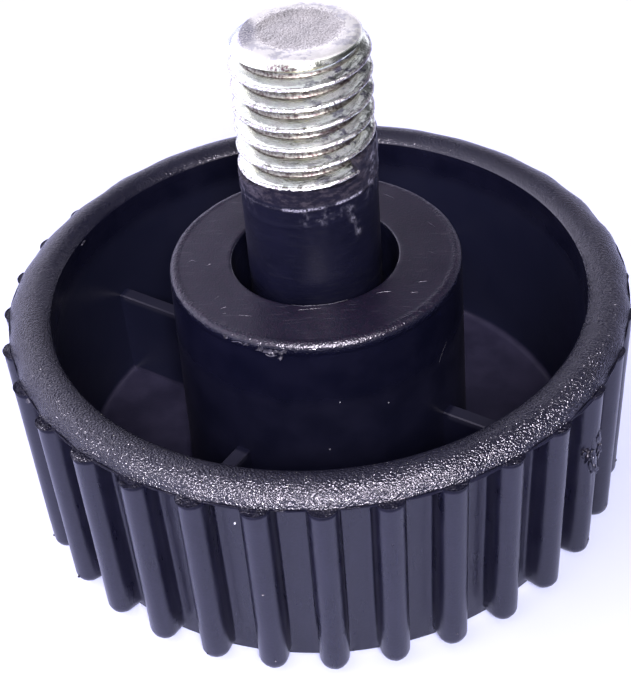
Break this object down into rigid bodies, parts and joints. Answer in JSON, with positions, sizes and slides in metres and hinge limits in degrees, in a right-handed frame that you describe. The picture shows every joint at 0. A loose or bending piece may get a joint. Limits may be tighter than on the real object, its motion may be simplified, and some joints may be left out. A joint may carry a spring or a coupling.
{
  "type": "knurled knob",
  "caption": "Round knurled cap knob of black moulded plastic, open-backed and ribbed for grip, with a zinc-plated threaded stud moulded into its central hub.",
  "frame": {"origin": "centre of the knob's closed face, which it stands on", "axes": "+Z along the stud, out of the open side; +X through the middle of one rib"},
  "size_m": [0.038, 0.038, 0.0311],
  "materials": {
    "black_plastic": "satin black moulded thermoplastic, smooth on the ribs and walls, fine spark-eroded grain on the rim, torn flash at the parting line",
    "zinc_plated_steel": "bright zinc-plated rolled thread, grainy sheared end face, olive tint in the roots"
  },
  "bodies": {
    "root": {"knob_body": "black_plastic", "threaded_stud": "zinc_plated_steel"}
  },
  "joints": []
}
